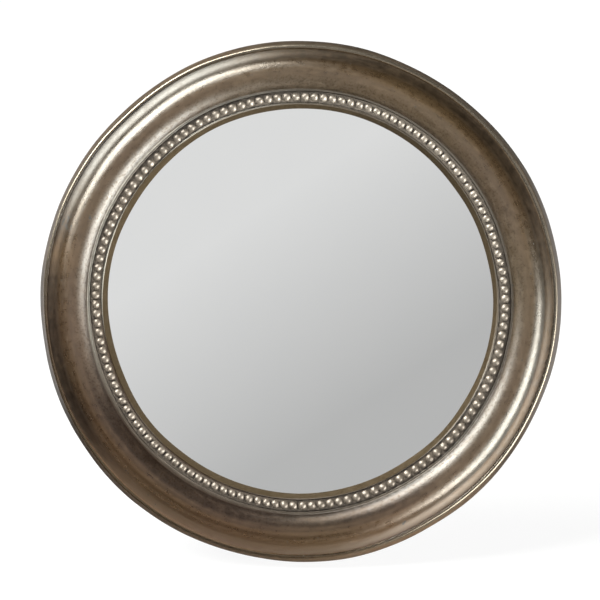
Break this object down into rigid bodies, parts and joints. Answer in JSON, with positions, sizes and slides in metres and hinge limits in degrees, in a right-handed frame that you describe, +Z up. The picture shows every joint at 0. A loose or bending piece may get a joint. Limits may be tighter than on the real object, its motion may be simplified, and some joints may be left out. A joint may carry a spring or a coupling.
{
  "type": "table mirror",
  "caption": "Round easel-back table mirror: a deep half-round frame in antiqued silver leaf with a bead row round the glass, a folding strut and a keyhole hanger.",
  "frame": {"origin": "on the table, under the middle of the whole mirror as it stands", "axes": "+X to the viewer's right, +Y from the glass to the back, +Z up; the glass faces -Y and leans back"},
  "size_m": [0.3, 0.116, 0.286],
  "materials": {
    "silver_leaf": "champagne silver leaf over brown bole, antiqued and lightly burnished",
    "mirror_glass": "silvered plate glass, unbevelled",
    "kraft_card": "plain brown card",
    "black_board": "fibreboard covered in black flock paper",
    "nickel_hinge": "nickel-plated pressed steel",
    "brass_plate": "brass-plated pressed steel"
  },
  "bodies": {
    "frame": {"frame_moulding": "silver_leaf", "bead_strip_1": "silver_leaf", "bead_strip_2": "silver_leaf", "bead_strip_3": "silver_leaf", "bead_strip_4": "silver_leaf", "mirror_plate": "mirror_glass", "backing_sheet": "kraft_card", "backboard": "black_board", "turn_button_screws": "brass_plate", "hanger_plate": "brass_plate", "hanger_screws": "brass_plate", "hinge_fixed_leaf": "nickel_hinge", "hinge_pin": "nickel_hinge", "hinge_rivets": "nickel_hinge"},
    "leg": {"strut": "black_board", "hinge_strut_leaf": "nickel_hinge", "strut_rivets": "nickel_hinge"},
    "button_1": {"turn_button_1": "brass_plate"},
    "button_2": {"turn_button_2": "brass_plate"},
    "button_3": {"turn_button_3": "brass_plate"},
    "button_4": {"turn_button_4": "brass_plate"}
  },
  "joints": [
    {"name": "strut_fold", "type": "hinge", "parent": "frame", "child": "leg", "pos_m": [0, 0.0243, 0.20317], "axis": [1, 0, 0], "range_deg": [-27, 0]},
    {"name": "turn_button_1_swivel", "type": "hinge", "parent": "frame", "child": "button_1", "pos_m": [0.08768, 0.02931, 0.22539], "axis": [0, -0.9511, 0.309], "continuous": true},
    {"name": "turn_button_2_swivel", "type": "hinge", "parent": "frame", "child": "button_2", "pos_m": [-0.08768, 0.02931, 0.22539], "axis": [0, -0.9511, 0.309], "continuous": true},
    {"name": "turn_button_3_swivel", "type": "hinge", "parent": "frame", "child": "button_3", "pos_m": [-0.08768, -0.02488, 0.05861], "axis": [0, -0.9511, 0.309], "continuous": true},
    {"name": "turn_button_4_swivel", "type": "hinge", "parent": "frame", "child": "button_4", "pos_m": [0.08768, -0.02488, 0.05861], "axis": [0, -0.9511, 0.309], "continuous": true}
  ]
}
